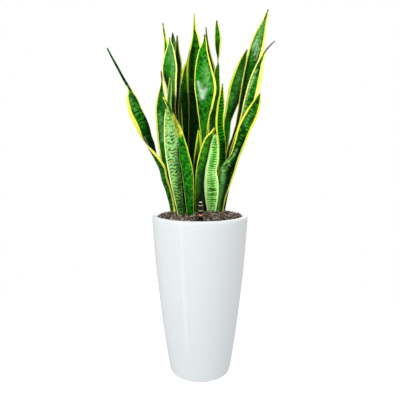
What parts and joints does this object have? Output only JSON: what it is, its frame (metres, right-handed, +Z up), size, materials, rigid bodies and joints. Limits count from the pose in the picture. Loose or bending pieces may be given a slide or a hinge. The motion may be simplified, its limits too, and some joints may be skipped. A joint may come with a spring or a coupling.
{
  "type": "potted laurentii snake plant",
  "caption": "Tall clump of upright, sword-shaped snake plant leaves with yellow edges in a tall round self-watering planter with a float water gauge.",
  "frame": {"origin": "centre of the planter's flat foot, on the ground", "axes": "+Z up along the planter's axis, -Y towards the viewer and the side with the water gauge, +X to the viewer's right"},
  "size_m": [0.5437, 0.32, 1.2414],
  "materials": {
    "planter_white": "high gloss white",
    "insert_black": "satin black",
    "granules": "loose rough mineral and bark granules",
    "root_stock": "matte, ringed",
    "leaf_green": "waxy gloss, dark green with paler wavy cross-bands and yellow edges",
    "leaf_pale": "waxy, pale green with dark wavy cross-bands and cream edges",
    "gauge_clear": "clear polished",
    "float_red": "satin"
  },
  "bodies": {
    "pot": {"planter": "planter_white", "liner": "insert_black", "separator": "insert_black", "soil": "granules", "rhizome": "root_stock", "gauge_shaft": "insert_black", "gauge_head": "gauge_clear", "leaf_far_left": "leaf_green", "leaf_left_rear": "leaf_green", "leaf_left_pale": "leaf_pale", "leaf_left_front": "leaf_green", "leaf_left_short": "leaf_green", "leaf_left_slim": "leaf_green", "leaf_left_glossy": "leaf_green", "leaf_left_tall": "leaf_green", "leaf_left_inner": "leaf_green", "leaf_middle_tallest": "leaf_green", "leaf_middle_rear": "leaf_green", "leaf_middle_broad": "leaf_green", "leaf_middle_behind": "leaf_green", "leaf_middle_twisted": "leaf_green", "leaf_middle_low": "leaf_green", "leaf_middle_front": "leaf_green", "leaf_right_pale": "leaf_pale", "leaf_right_narrow": "leaf_green", "leaf_right_rear": "leaf_green", "leaf_right_tallest": "leaf_green", "leaf_right_curled_tip": "leaf_green", "leaf_right_front": "leaf_green"},
    "float": {"gauge_float": "float_red"}
  },
  "joints": [
    {"name": "water_level", "type": "slide", "parent": "pot", "child": "float", "axis": [0, 0, 1], "range_m": [0, 0.03]}
  ]
}
